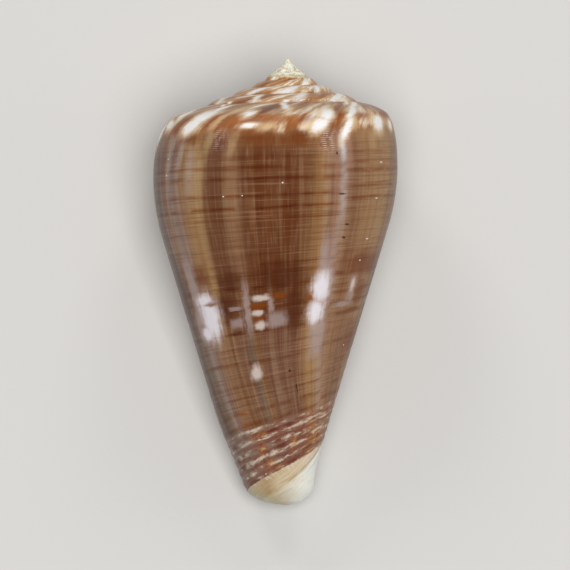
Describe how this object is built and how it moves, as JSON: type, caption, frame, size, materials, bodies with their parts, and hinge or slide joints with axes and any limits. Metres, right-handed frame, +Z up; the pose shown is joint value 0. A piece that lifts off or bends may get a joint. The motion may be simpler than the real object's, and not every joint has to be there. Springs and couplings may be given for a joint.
{
  "type": "cone shell",
  "caption": "Coiled sea snail shell, a long cone with a low stepped spire and a narrow slit aperture, lying on its aperture side.",
  "frame": {"origin": "middle of the shell's box in X and Y, at the level of the surface it lies on", "axes": "+Y towards the pointed spire, +Z up out of the middle of the back, +X to the right when the back is seen with the spire away from the viewer; the aperture faces down, on the -X side"},
  "size_m": [0.0302, 0.054, 0.0271],
  "materials": {
    "shell": "satin"
  },
  "bodies": {
    "root": {"shell": "shell"}
  },
  "joints": []
}
